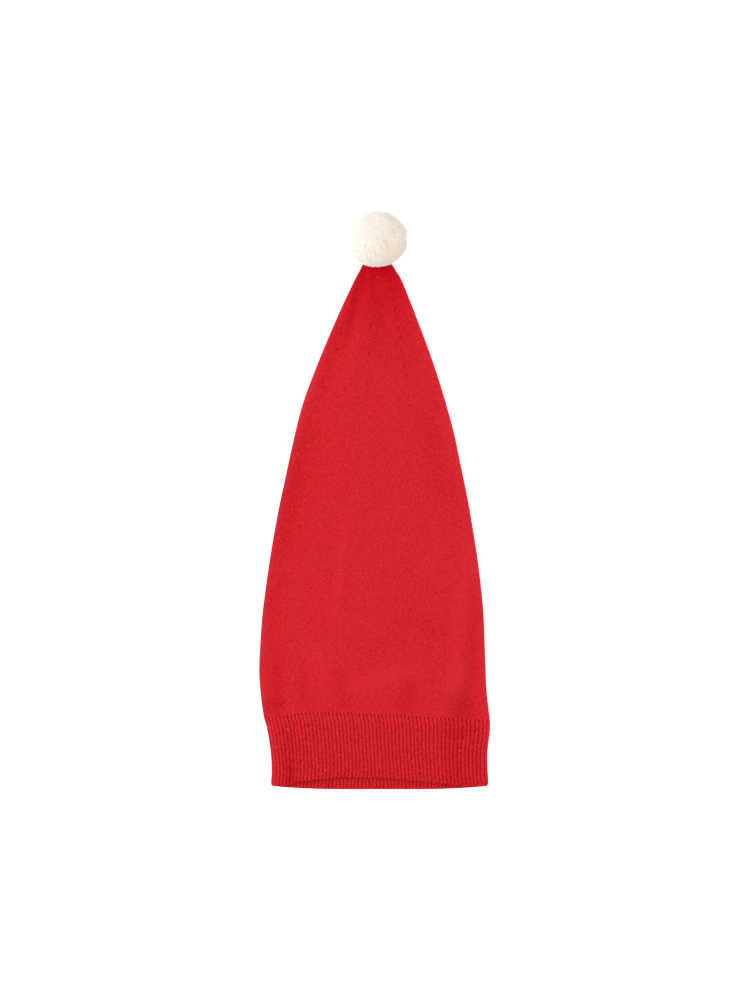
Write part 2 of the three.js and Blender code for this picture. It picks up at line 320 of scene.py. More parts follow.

# Lightness of the imported middle and the cut ends, painted shade in creases and at roots, and the yarn's
# finish
CORE_DEPTH_SHARE = 1.3
CORE_LIGHT = 0.7
CORE_END = 0.5
END_LIGHT = 0.65
END_TIP_LIGHT = 0.35
CREASE_DARK = 0.5
YARN_FLECK = 0.12
END_FLECK = 0.95
LIT_HEIGHTS = (0.9, 2.1)
LIT_SHARE = 0.9
LOOSE_SHARES = (0.65, 1.15)
YARN_ROUGHNESS = (0.86, 0.98)
YARN_FIBRE_DEPTH = 0.00008

# Strands. A profile (length, radius), a reach past the ball and widths are shares, a sway is in metres.
Strand = namedtuple("Strand", "profile reach widths sway")
CUT_END = Strand([(0.0, 0.75), (0.88, 1.0)], (-0.010, 0.008), (0.75, 1.15), 0.0003)
WISP = Strand([(0.0, 1.0), (0.55, 0.75)], (-0.016, 0.036), (0.7, 1.3), 0.0004)
WISP_LENGTHS = (0.6, 1.3)
WISP_ROOT_SWAY = 0.0010
SPREAD_JITTER = 0.5
NEARLY_UPRIGHT = 0.9
TIP_GAP = 0.0006
GOLDEN_ANGLE = math.pi * (3 - math.sqrt(5))

# Bits of red lint on the pompom: their places from its middle in plan, and their sizes
LINT_X, LINT_Y, LINT_RADII = np.array([
    (-0.0103, 0.0222, 0.00050),
    (-0.0126, -0.0064, 0.00045),
    (-0.0039, 0.0142, 0.00025),
]).T
LINT_LENGTH = 0.0012
LINT_PROUD = 0.0002

# Stage
KEY_PLACE = Vector((-1.32, 0.26, 1.10))
SENSOR_MM = 36.0
FLOOR_GRAIN = 0.004
FLOOR_DULLNESS = 0.985
FLOOR_ROUGHNESS = (0.85, 0.95)


def setting(kind, **limits):
    """Gives a function that makes one kind of setting for a user to change."""

    def make(name, description, default):
        return kind(name=name, description=description, default=default, **limits)

    return make


length = setting(FloatProperty, min=0, precision=5, subtype="DISTANCE", unit="LENGTH")
place = setting(FloatProperty, unit="LENGTH")
strength = setting(FloatProperty, min=0)
count = setting(IntProperty, min=8)
colour = setting(FloatVectorProperty, min=0, max=1, size=4, subtype="COLOR")


class KnitSizes(bpy.types.PropertyGroup):
    """Sizes of the knit."""

    crown_wall: length("Crown wall", "Thickness of the plain knit", 0.0020)
    tip_wall: length("Tip wall", "Thickness of the knit bunched at the tip", 0.0032)
    wale_width: length("Wale width", "Width of one column of stitches", 0.00175)
    course_height: length("Course height", "Height of one row of stitches", 0.00130)
    band_height: length("Band height", "Height of the ribbed band at the side folds", 0.061)
    band_wall: length("Band wall", "Thickness of the ribbed knit over its ribs", 0.0024)
    rib_count: count("Ribs", "Ribs round the whole band", 120)
    rib_depth: length("Rib depth", "Depth of the valley between two ribs", 0.0010)


class PompomSizes(bpy.types.PropertyGroup):
    """Sizes of the pompom's cut yarn."""

    pile_count: count("Yarn ends", "Cut yarn ends over the whole ball", 13500)
    pile_radius: length("Yarn end radius", "Radius of one cut yarn end", 0.00052)
    pile_length: length("Pile length", "Length of a yarn end", 0.0018)
    crease_depth: length("Crease depth", "Depth of the creases between clumps", 0.0005)
    wisp_count: count("Wisps", "Loose fibres over the whole ball", 4600)
    wisp_length: length("Wisp length", "Usual length of one loose fibre", 0.0024)
    wisp_radius: length("Wisp radius", "Radius of one loose fibre at its root", 0.00011)


class HatColours(bpy.types.PropertyGroup):
    """Colours of the yarns and the floor."""

    crown_red: colour("Crown red", "Face of the plain knit's stitches", (0.750, 0.0187, 0.0314, 1.0))
    # Deep crown red: painted shade between the stitches and in valleys, and random speckle.
    crown_deep_red: colour("Deep crown red", "Plain knit between its stitches", (0.348, 0.0002, 0.0013, 1.0))
    rib_red: colour("Rib red", "Face of the ribs", (0.728, 0.0198, 0.0290, 1.0))
    # Deep rib red: painted shade between the ribs and stitches, and random speckle.
    rib_deep_red: colour("Deep rib red", "Knit between the ribs", (0.345, 0.0013, 0.0032, 1.0))
    bloom_red: colour("Bloom red", "Dull fine fibres over the knit", (0.300, 0.0330, 0.0430, 1.0))
    lint_grey: colour("Lint grey", "Stray pale fibres on the knit", (0.600, 0.3000, 0.3200, 1.0))
    # Painted light: a less yellow cream for the pompom's lit side.
    lit_side_cream: colour("Pale cream", "Pompom yarn on its left and far sides", (0.800, 0.765, 0.727, 1.0))
    # Painted shade: the cream round the pompom's sides.
    side_shade_cream: colour("Side cream", "Loose pompom yarn round the ball's sides", (0.705, 0.652, 0.642, 1.0))
    cream: colour("Cream", "Cut ends of the pompom's yarn", (0.905, 0.865, 0.815, 1.0))
    # Deep cream: random flecks, and painted shade in creases and in the hollow.
    deep_cream: colour("Deep cream", "Pompom yarn in its creases", (0.865, 0.665, 0.390, 1.0))
    floor_white: colour("Floor white", "The floor under the hat", (0.920, 0.920, 0.920, 1.0))


class StageSettings(bpy.types.PropertyGroup):
    """Camera and light."""

    lens_mm: strength("Lens", "Focal length of the camera in millimetres", 150.0)
    view_length: length("View length", "Length of floor that the picture's long side shows", 0.920)
    view_x: place("View X", "X of the picture's middle", 0.0005)
    view_y: place("View Y", "Y of the picture's middle", 0.0005)
    focus_height: length("Focus height", "Height at which the view length is measured", 0.008)
    sky_strength: strength("Sky strength", "Brightness of the even light all round", 1.30)
    key_power: strength("Key power", "Power of the soft light from the left, in watts", 8.5)
    key_size: length("Key size", "Diameter of the soft light from the left", 1.0)
    floor_radius: length("Floor radius", "Radius of the floor", 14.0)
    floor_glow: strength("Floor glow", "Light that the floor gives off", 0.55)


def ease(low, high, value):
    """Goes smoothly from 0 at low to 1 at high."""
    share = np.clip((value - low) / (high - low), 0, 1)
    return share * share * (3 - 2 * share)


def through(knots, values, place):
    """A smooth curve through values at knots."""
    slopes = np.empty_like(values)
    slopes[1:-1] = (values[2:] - values[:-2]) / (knots[2:] - knots[:-2])
    slopes[0] = (values[1] - values[0]) / (knots[1] - knots[0])
    slopes[-1] = (values[-1] - values[-2]) / (knots[-1] - knots[-2])
    i = np.clip(np.searchsorted(knots, place) - 1, 0, len(knots) - 2)
    span = knots[i + 1] - knots[i]
    t = np.clip((place - knots[i]) / span, 0, 1)
    start = (1 + 2 * t) * (1 - t) ** 2 * values[i] + t * (1 - t) ** 2 * span * slopes[i]
    end = t * t * (3 - 2 * t) * values[i + 1] + t * t * (t - 1) * span * slopes[i + 1]
    return start + end


def section_at(along):
    """The left, right, floor and crest of the hat's sections at distances along it."""
    return [through(SECTION_ALONG, column, along) for column in SECTION_COLUMNS]


def fold_height(x, along):
    """Height that the soft folds add to the upper layer."""
    height = np.zeros(np.broadcast(x, along).shape)
    for start_x, start_along, end_x, end_along, width, top in FOLDS:
        line_x = end_x - start_x
        line_y = end_along - start_along
        walked = (x - start_x) * line_x + (along - start_along) * line_y
        share = np.clip(walked / (line_x**2 + line_y**2), 0, 1)
        fade = 1 - np.abs(2 * share - 1) ** FOLD_FADE_POWER
        away_x = x - start_x - share * line_x
        away_y = along - start_along - share * line_y
        height += top * fade * np.exp(-(away_x**2 + away_y**2) / width**2)
    return height


def drawn_up(across, along, band_height):
    """How far points of the upper layer are drawn up towards the tip."""
    rim = through(DRAWN_ACROSS, DRAWN_RIM, across)
    join = through(DRAWN_ACROSS, DRAWN_JOIN, across)
    on_band = rim + (join - rim) * np.clip(along / band_height, 0, 1)
    return on_band * (1 - ease(band_height, DRAWN_REACH, along))


def edge_arc(across, reach_share):
    """A flattened quarter ellipse: 1 over the hat's middle, falling to 0 at the folds."""
    past = np.clip((np.abs(across) - 1 + reach_share) / reach_share, 0, 1)
    return (1 - past**SIDE_FOLD_POWER) ** (1 / SIDE_FOLD_POWER)


def outline(along, angle, inset, band_height, folded=True):
    """Points of the hat's sections, in from the outer face by inset. The angle goes from pi at the left fold,
    over the upper layer to 0 at the right fold, and under the lower layer to -pi."""
    left, right, floor, crest = section_at(along)
    floor = np.maximum(0, floor)
    height = crest - floor
    across = np.cos(angle)
    half = (right - left) / 2 - inset
    x = (left + right) / 2 + half * across
    folds = fold_height(x, along) if folded else 0
    fold_z = floor + SIDE_FOLD_LEVEL * height * (1 - DOME_FALL)
    arc = edge_arc(across, np.minimum(1, (SIDE_FOLD_REACH - inset) / half))
    upper_top = floor + height * (1 - DOME_FALL * across**2) - inset + folds
    upper_z = fold_z + (upper_top - fold_z) * arc
    curl = RIM_CURL * (1 - ease(*CURL_ALONG, along)) * ease(*CURL_ACROSS, np.abs(across))
    lower_z = fold_z - (fold_z - floor - inset) * arc + curl
    near_rim = 1 - ease(0, CORNER_REACH, along)
    corner = CORNER_RADIUS * (1 - edge_arc(across, CORNER_RADIUS / half)) * near_rim
    upper_rise = drawn_up(across, along, band_height)
    side_rise = drawn_up(np.sign(across), along, band_height) * across**2
    lower_rise = side_rise - BACK_RIM_DROP * (1 - across**4) * (1 - ease(0, DRAWN_REACH, along))
    upper = angle >= 0
    y = RIM_Y + along + corner + np.where(upper, upper_rise, lower_rise)
    return np.stack(np.broadcast_arrays(x, y, np.where(upper, upper_z, lower_z)), axis=-1)


def spaced_angles(along, shares, band_height):
    """Angles that walk round each section in shares of its girth without its folds, and the girths."""
    fine = np.linspace(math.pi, -math.pi, OUTLINE_STEPS + 1)
    points = outline(along[:, None], fine[None, :], 0.0, band_height, folded=False)
    steps = np.linalg.norm(np.diff(points, axis=1), axis=2)
    angles = np.empty(shares.shape)
    girths = steps.sum(axis=1)
    for row, girth in enumerate(girths):
        walked = np.concatenate([[0], np.cumsum(steps[row])])
        angles[row] = np.interp(shares[row] * girth, walked, fine)
    return angles, girths


def sunk(rings, depth):
    """Rings whose points are moved inwards by depth, square to their section's outline."""
    step = np.roll(rings, -1, axis=1) - np.roll(rings, 1, axis=1)
    inward = np.stack([step[..., 2], np.zeros(step.shape[:2]), -step[..., 0]], axis=-1)
    inward /= np.linalg.norm(inward, axis=2, keepdims=True)
    return rings + inward * depth[..., None]


def noise_at(points, size):
    """Soft noise from about -1 to 1 at each point, with patches of about that size."""
    return np.array([noise.noise(Vector(point) / size) for point in points])


def painted_light_and_shade(x, along, angle):
    """Painted light and shade on the knit: paler on ridges and by the side folds, deeper in valleys."""
    left, right, _, _ = section_at(along)
    from_side = (right - left) / 2 * (1 - np.abs(np.cos(angle)))
    on_folds = np.where(angle >= 0, FOLD_PAINTED_LIGHT * fold_height(x, along), 0)
    left_light = LEFT_EDGE_PAINTED_LIGHT * ease(*LEFT_EDGE_LIGHT_REACH, along)
    return on_folds + np.where(x > 0, RIGHT_EDGE_PAINTED_LIGHT, left_light) * ease(EDGE_REACH, 0, from_side)


def ring_faces(ring_count, around, closed):
    """Quads between rings that follow each other, as vertex numbers."""
    ring = np.arange(ring_count if closed else ring_count - 1)[:, None]
    i = np.arange(around)[None, :]
    here = ring * around
    there = (ring + 1) % ring_count * around
    after = (i + 1) % around
    return np.stack([here + i, here + after, there + after, there + i], axis=-1).reshape(-1, 4)


def ring_corners(values):
    """Values at the corners of closed rings' quads, from values with one column more than the points."""
    there = np.roll(values, -1, axis=0)
    return np.stack([values[:, :-1], values[:, 1:], there[:, 1:], there[:, :-1]], axis=-1).ravel()


def new_piece(name, node, points, faces, material):
    """A smooth mesh piece that rides on the hat's body in place of a solid, with the finish it is given."""
    mesh = bpy.data.meshes.new(name)
    mesh.from_pydata(points.tolist(), [], faces)
    mesh.update()
    mesh.shade_smooth()
    mesh.materials.append(material)
    piece = bpy.data.objects.new(name, mesh)
    bpy.context.scene.collection.objects.link(piece)
    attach(piece, BODY)
    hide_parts(node)
    return piece


def sharpen(piece, rings, around):
    """Makes the edges along these rings sharp."""
    edges = np.empty(len(piece.data.edges) * 2, np.int32)
    piece.data.edges.foreach_get("vertices", edges)
    ring_of = edges.reshape(-1, 2) // around
    sharp = (ring_of[:, 0] == ring_of[:, 1]) & np.isin(ring_of[:, 0], rings)
    attribute = piece.data.attributes.new("sharp_edge", "BOOLEAN", "EDGE")
    attribute.data.foreach_set("value", sharp)


def store_values(piece, name, values):
    """Keeps a number for each vertex, for the finish to read."""
    attribute = piece.data.attributes.new(name, "FLOAT", "POINT")
    attribute.data.foreach_set("value", np.asarray(values, np.float32).ravel())


def store_places(piece, name, across, along):
    """Keeps each face corner's place in the knit as a UV map."""
    layer = piece.data.uv_layers.new(name=name)
    layer.data.foreach_set("uv", np.stack([across, along], axis=-1).astype(np.float32).ravel())


# A mix node's colour sockets by number, because other sockets share their names
MIX_LOW = 6
MIX_HIGH = 7
MIX_RESULT = 2


class Finish:
    """A material's node tree, with short calls for the nodes that the finishes share."""

    def __init__(self, name):
        self.material = bpy.data.materials.new(name)
        self.material.use_nodes = True
        self.tree = self.material.node_tree
        self.shader = self.tree.nodes["Principled BSDF"]
        self.places = self.add("ShaderNodeTexCoord")["Object"]

    def add(self, kind, inputs=None, **settings):
        """A new node's outputs, once it has its settings and inputs."""
        node = self.tree.nodes.new(kind)
        for name, value in settings.items():
            setattr(node, name, value)
        for key, value in (inputs or {}).items():
            self.put(node.inputs[key], value)
        return node.outputs

    def put(self, socket, value):
        """Links a socket, or sets it to a plain value."""
        if isinstance(value, bpy.types.NodeSocket):
            self.tree.links.new(value, socket)
        else:
            socket.default_value = value

    def set(self, **values):
        """Links or sets the shader's sockets, named with _ for each space."""
        for name, value in values.items():
            self.put(self.shader.inputs[name.replace("_", " ")], value)

    def maths(self, operation, *values, kind="ShaderNodeMath"):
        return self.add(kind, dict(enumerate(values)), operation=operation)[0]

    def vectors(self, operation, *values):
        return self.maths(operation, *values, kind="ShaderNodeVectorMath")

    def parts(self, vector):
        """The three parts of a vector."""
        return self.add("ShaderNodeSeparateXYZ", {"Vector": vector})

    def layer(self, name):
        """The parts of the places in a UV map."""
        return self.parts(self.add("ShaderNodeUVMap", uv_map=name)["UV"])

    def value_of(self, name):
        """A number stored on the mesh."""
        return self.add("ShaderNodeAttribute", attribute_name=name)["Fac"]

    def grain(self, size, detail=2.0):
        """Soft noise from 0 to 1, with patches of about that size."""
        inputs = {"Vector": self.places, "Scale": 1 / size, "Detail": detail}
        return self.add("ShaderNodeTexNoise", inputs)["Fac"]

    def spread(self, value, low, high, new_low=0, new_high=1):
        """A value taken from one range to another and kept inside it."""
        inputs = {"Value": value, "From Min": low, "From Max": high, "To Min": new_low, "To Max": new_high}
        return self.add("ShaderNodeMapRange", inputs)["Result"]

    def wander(self, value, size, amount):
        """A value moved by soft noise, by up to an amount either way."""
        return self.maths("ADD", value, self.spread(self.grain(size), 0, 1, -amount, amount))

    def blend(self, share, low, high, kind="MIX"):
        inputs = {"Factor": share, MIX_LOW: low, MIX_HIGH: high}
        return self.add("ShaderNodeMix", inputs, data_type="RGBA", blend_type=kind)[MIX_RESULT]

    def relief(self, height, depth, **under):
        """A normal bent by a height, over the Normal under it if one is given."""
        return self.add("ShaderNodeBump", {"Height": height, "Distance": depth, **under})["Normal"]


def stitch_texture(finish):
    """Plain-knit stitches: each wale is a column of Vs with two plump arms. Gives the stitches' height, and
    random numbers for each piece of an arm: two set apart from those round it, and a plain one."""
    stitch = finish.layer("stitches")
    wale = finish.wander(stitch["X"], *WALE_WANDER)
    course = finish.wander(stitch["Y"], *COURSE_WANDER)
    from_edge = finish.maths("PINGPONG", wale, 0.5)
    arm = finish.maths("SINE", finish.maths("MULTIPLY", from_edge, TURN))
    rise = finish.maths("MULTIPLY_ADD", from_edge, ARM_RISE, course)
    loop = finish.maths("COSINE", finish.maths("MULTIPLY", rise, TURN))
    plump = finish.maths("MULTIPLY_ADD", loop, LOOP_SWELL, 1 - LOOP_SWELL)
    rounded = finish.maths("POWER", finish.maths("ABSOLUTE", arm), ARM_ROUNDNESS)
    column = finish.maths("FLOOR", finish.maths("MULTIPLY", wale, ARMS_PER_WALE))
    row = finish.maths("FLOOR", finish.maths("MULTIPLY", rise, PIECES_PER_COURSE))

    def chances(columns, rows):
        place = {"X": finish.maths("ADD", column, columns), "Y": finish.maths("ADD", row, rows)}
        spot = {"Vector": finish.add("ShaderNodeCombineXYZ", place)["Vector"]}
        return finish.add("ShaderNodeTexWhiteNoise", spot, noise_dimensions="2D")["Color"]

    own = chances(0, 0)
    beside = finish.vectors("ADD", chances(-1, 0), chances(1, 0))
    above_and_below = finish.vectors("ADD", chances(0, -1), chances(0, 1))
    share = (-SET_APART / 4,) * 3
    apart = finish.vectors("MULTIPLY_ADD", finish.vectors("ADD", beside, above_and_below), share, own)
    first, second, _ = finish.parts(apart)
    return finish.maths("MULTIPLY", rounded, plump), first, second, finish.parts(own)["Z"]


def seam_marks(finish):
    """Short slanted marks where the crown's panels are narrowed, each with a strength of its own: the shade
    of their dents painted into the red, with no relief.
    """
    seam = finish.layer("seams")
    from_middle = finish.maths("SUBTRACT", finish.maths("FRACT", seam["Y"]), 0.5)
    slanted = finish.maths("MULTIPLY_ADD", from_middle, -MARK_SLANT, seam["X"])
    beside = finish.spread(finish.maths("ABSOLUTE", slanted), 0, MARK_WIDTH, 1, 0)
    within = finish.spread(finish.maths("ABSOLUTE", from_middle), *MARK_ENDS, 1, 0)
    mark = {"W": finish.maths("FLOOR", seam["Y"])}
    chance = finish.add("ShaderNodeTexWhiteNoise", mark, noise_dimensions="1D")["Value"]
    strong = finish.spread(chance, 0, 1, *MARK_STRENGTHS)
    near_tip = finish.spread(finish.parts(finish.places)["Y"], RIM_Y + MARK_START, RIM_Y + MARK_FULL)
    dent = finish.maths("MULTIPLY", beside, within)
    return finish.maths("MULTIPLY", dent, finish.maths("MULTIPLY", strong, near_tip))


def knit_finish(name, face, deep, colours, look):
    """Matt knit: red on the face of its stitches, with painted shade deepening it between them and in sunk
    places and painted light paling it on ridges, under a bloom of duller fibres and a few bits of pale lint."""
    finish = Finish(name)
    stitches, chance, dull_chance, lint_chance = stitch_texture(finish)
    painted_shade = finish.value_of("sunk")
    if look.marked:
        painted_shade = finish.maths("ADD", painted_shade, seam_marks(finish))
    fibres = finish.grain(FIBRE_SIZE, FIBRE_DETAIL)
    fleck = FIBRE_SPECKLE * look.speckle
    # Painted shade between the stitches: the red is deeper where the stitches are low.
    light = finish.maths("MULTIPLY_ADD", stitches, STITCH_LIGHT, BASE_LIGHT)
    light = finish.maths("ADD", light, finish.spread(fibres, *FIBRE_RANGE, -fleck, fleck))
    light = finish.maths("ADD", light, finish.spread(chance, -SET_APART, 1, -look.speckle, look.speckle))
    # Painted shade: the stored value and the seam marks darken the red, and below 0 the value pales it as
    # painted light.
    light = finish.maths("SUBTRACT", light, finish.maths("MULTIPLY", painted_shade, look.sunk_share))
    yarn = finish.blend(finish.spread(light, 0, 1), deep, face)
    dull = finish.maths("MULTIPLY_ADD", chance, FUZZ_LEAN, dull_chance)
    fuzz = finish.spread(dull, *FUZZ_CHANCES, 0, FUZZ_SHARE)
    # Painted shade also thins the fuzz of dull fibres.
    fuzz = finish.maths("MULTIPLY", fuzz, finish.spread(painted_shade, *FUZZ_DEPTHS, *FUZZ_SCALES))
    knitted = finish.blend(fuzz, yarn, colours.bloom_red)
    if look.marked:
        # Painted shade: a tint deepens the red towards the tip and under the pompom.
        knitted = finish.blend(finish.value_of("bunched"), knitted, TIP_SHADE_TINT, "MULTIPLY")
    stray = finish.spread(lint_chance, LINT_CHANCE, 1, 0, LINT_SHARE)
    finish.set(
        Base_Color=finish.blend(stray, knitted, colours.lint_grey),
        Roughness=finish.spread(fibres, *FIBRE_RANGE, *KNIT_ROUGHNESS),
        Normal=finish.relief(fibres, KNIT_FIBRE_DEPTH, Normal=finish.relief(stitches, STITCH_DEPTH)),
        Specular_IOR_Level=0.015,
        Sheen_Weight=0.04,
        Sheen_Roughness=0.5,
        Sheen_Tint=(1.0, 0.25, 0.28, 1.0),
    )
    return finish.material


def yarn_finish(name, colours):
    """Matt cut yarn: cream, with a less yellow lit-side cream as painted light, painted shade dulling it
    round the sides, and deeper in creases.
    """
    finish = Finish(name)
    fibres = finish.grain(FIBRE_SIZE, FIBRE_DETAIL)
    height = finish.value_of("height")
    end = finish.value_of("end")
    light = finish.maths("ADD", height, finish.spread(fibres, *FIBRE_RANGE, -YARN_FLECK, YARN_FLECK))
    light = finish.maths("ADD", light, finish.spread(end, 0, 1, -END_FLECK, END_FLECK))
    inner = finish.blend(finish.spread(light, 0, 1), colours.deep_cream, colours.cream)
    # Painted light: the lit-side cream where the light falls.
    upper = finish.blend(finish.spread(height, *LIT_HEIGHTS, 0, LIT_SHARE), inner, colours.lit_side_cream)
    # Painted shade round the ball's sides, varied from end to end.
    loose = finish.maths("MULTIPLY", finish.value_of("side"), finish.spread(end, 0, 1, *LOOSE_SHARES))
    yarn = finish.blend(loose, upper, colours.side_shade_cream)
    finish.set(
        Base_Color=finish.blend(finish.value_of("lint"), yarn, colours.crown_red),
        Roughness=finish.spread(fibres, *FIBRE_RANGE, *YARN_ROUGHNESS),
        Normal=finish.relief(fibres, YARN_FIBRE_DEPTH),
        Specular_IOR_Level=0.05,
        Sheen_Weight=0.10,
        Sheen_Roughness=0.5,
        Subsurface_Weight=0.15,
        Subsurface_Radius=(0.0011, 0.0010, 0.0009),
        Subsurface_Scale=1.0,
    )
    return finish.material


def floor_finish(name, white, glow):
    """A pale matt floor with a faint grain, which gives off some light."""
    finish = Finish(name)
    grain = finish.grain(FLOOR_GRAIN)
    dull = (*(FLOOR_DULLNESS * part for part in white[:3]), 1.0)
    finish.set(
        Base_Color=finish.blend(grain, dull, white),
        Roughness=finish.spread(grain, 0, 1, *FLOOR_ROUGHNESS),
        Specular_IOR_Level=0.1,
        Emission_Color=(1.0, 1.0, 1.0, 1.0),
        Emission_Strength=glow,
    )
    return finish.material


def tip_gathers(along, shares):
    """Depth of the gathers where the crown is drawn closed."""
    turn = TURN * shares
    near_tip = ease(TIP_ALONG - GATHER_REACH, TIP_ALONG, along)[:, None]
    sway = sum(amount * np.sin(waves * turn) for waves, amount in GATHER_SWAYS)
    gathers = 0.5 - 0.5 * np.cos(GATHER_COUNT * turn + sway)
    return GATHER_DEPTH * near_tip * gathers * np.abs(np.sin(turn))


def crown_side(knit, ring_count, inset_at):
    """One face of the crown, from the band to the rounded tip: its rings' distances along the hat, girths and
    points, the light and shade painted at the points, and the point that closes them."""
    end = TIP_ALONG - inset_at(np.array([TIP_ALONG]))[0]
    level = np.linspace(knit.band_height, end - TIP_ROUNDING, ring_count)
    bend = np.sin(np.linspace(0, math.pi / 2, TIP_RINGS + 2)[1:-1])
    along = np.concatenate([level, end - TIP_ROUNDING + TIP_ROUNDING * bend])
    shares = np.tile(np.arange(CROWN_POINTS) / CROWN_POINTS, (len(along), 1))
    angles, girths = spaced_angles(along, shares, knit.band_height)
    rings = outline(along[:, None], angles, inset_at(along)[:, None], knit.band_height)
    past_join = ease(knit.band_height, knit.band_height + JOIN_UNEVEN_REACH, along)[:, None]
    loose = JOIN_UNEVEN_SHARE + (1 - JOIN_UNEVEN_SHARE) * past_join
    uneven = noise_at(rings.reshape(-1, 3), UNEVEN_SIZE).reshape(rings.shape[:2])
    rings = sunk(rings, tip_gathers(along, shares) + UNEVEN_HEIGHT * uneven * loose)
    past = np.clip((along - end + TIP_ROUNDING) / TIP_ROUNDING, 0, 1)[:, None, None]
    middle = rings.mean(axis=1, keepdims=True)
    rings = middle + (rings - middle) * np.sqrt(1 - past * past)
    rings[..., 2] = np.maximum(rings[..., 2], 0)
    tip = rings[-1].mean(axis=0)
    tip[1] = RIM_Y + end
    pale = painted_light_and_shade(rings[..., 0], along[:, None], angles)
    return along, girths, rings, pale, tip


def panel_distances(girths, line):
    """Distances round the crown at each face corner from the nearest line up a panel, and the lines' numbers.
    The lines lie the given share of a panel past the panels' joins."""
    corners = np.arange(CROWN_POINTS + 1) / CROWN_POINTS
    faces = (corners[:-1] + corners[1:]) / 2
    numbers = np.round((faces - PANEL_START) * PANEL_COUNT - line)
    lines = PANEL_START + (numbers + line) / PANEL_COUNT
    left = (corners[:-1] - lines)[None, :] * girths[:, None]
    right = (corners[1:] - lines)[None, :] * girths[:, None]
    return np.stack([left[:-1], right[:-1], right[1:], left[1:]], axis=-1), numbers[None, :, None]


def make_crown(knit, colours):
    """The plain-knit crown: an open-ended wall that is closed and gathered at its tip."""

    def wall(along):
        bunched = ease(TIP_ALONG - GATHER_REACH, TIP_ALONG, along)
        return knit.crown_wall + (knit.tip_wall - knit.crown_wall) * bunched

    def with_tips(values):
        """Corner values of the quads, and 0 for the triangles that close the tips."""
        return np.concatenate([values.ravel(), np.zeros(2 * 3 * CROWN_POINTS)])

    *inner, inner_tip = crown_side(knit, CROWN_INNER_RINGS, wall)
    *outer, outer_tip = crown_side(knit, CROWN_RINGS, np.zeros_like)
    along, girths, rings, pale = (np.concatenate([a[::-1], b]) for a, b in zip(inner, outer))
    points = np.concatenate([rings.reshape(-1, 3), [inner_tip, outer_tip]])
    i = np.arange(CROWN_POINTS)
    after = (i + 1) % CROWN_POINTS
    last = (len(rings) - 1) * CROWN_POINTS
    inner_fan = np.stack([np.full_like(i, len(points) - 2), after, i], axis=-1)
    outer_fan = np.stack([last + i, last + after, np.full_like(i, len(points) - 1)], axis=-1)
    faces = [*ring_faces(len(rings), CROWN_POINTS, False).tolist(), *inner_fan.tolist(), *outer_fan.tolist()]
    finish = knit_finish("red plain knit", colours.crown_red, colours.crown_deep_red, colours, PLAIN_KNIT)
    piece = new_piece("knit_crown", "crown", points, faces, finish)
    inner_edge = len(inner[0]) - 1
    sharpen(piece, [inner_edge, inner_edge + 1], CROWN_POINTS)

    from_middles, panels = panel_distances(girths, 0.5)
    from_joins, joins = panel_distances(girths, 0.0)
    heights = np.stack([along[:-1], along[:-1], along[1:], along[1:]], axis=-1)[:, None, :]
    heights = np.broadcast_to(heights, from_joins.shape)
    wales = from_middles / knit.wale_width + PANEL_WALES * panels
    marks = heights / MARK_SPACING + MARK_PHASE * joins
    store_places(piece, "stitches", with_tips(wales), with_tips(heights / knit.course_height))
    store_places(piece, "seams", with_tips(from_joins), with_tips(marks))
    # How much the painted shade tints the red, growing towards the tip.
    bunched = np.clip((along - TIP_SHADE_START) / (TIP_ALONG - TIP_SHADE_START), 0, 1) ** TIP_SHADE_POWER
    store_values(piece, "bunched", np.concatenate([np.repeat(bunched, CROWN_POINTS), [1, 1]]))
    # The painted light and shade, stored as sunk: above 0 it darkens the red as painted shade, below 0 it
    # pales it as painted light.
    store_values(piece, "sunk", np.concatenate([-pale.ravel(), [0, 0]]))


def rib_valley(ribs):
    """How deep between two ribs a place is, from 0 on a rib's crest to 1 in the valley."""
    return np.abs(2 * (ribs - np.round(ribs))) ** RIB_ROUNDNESS


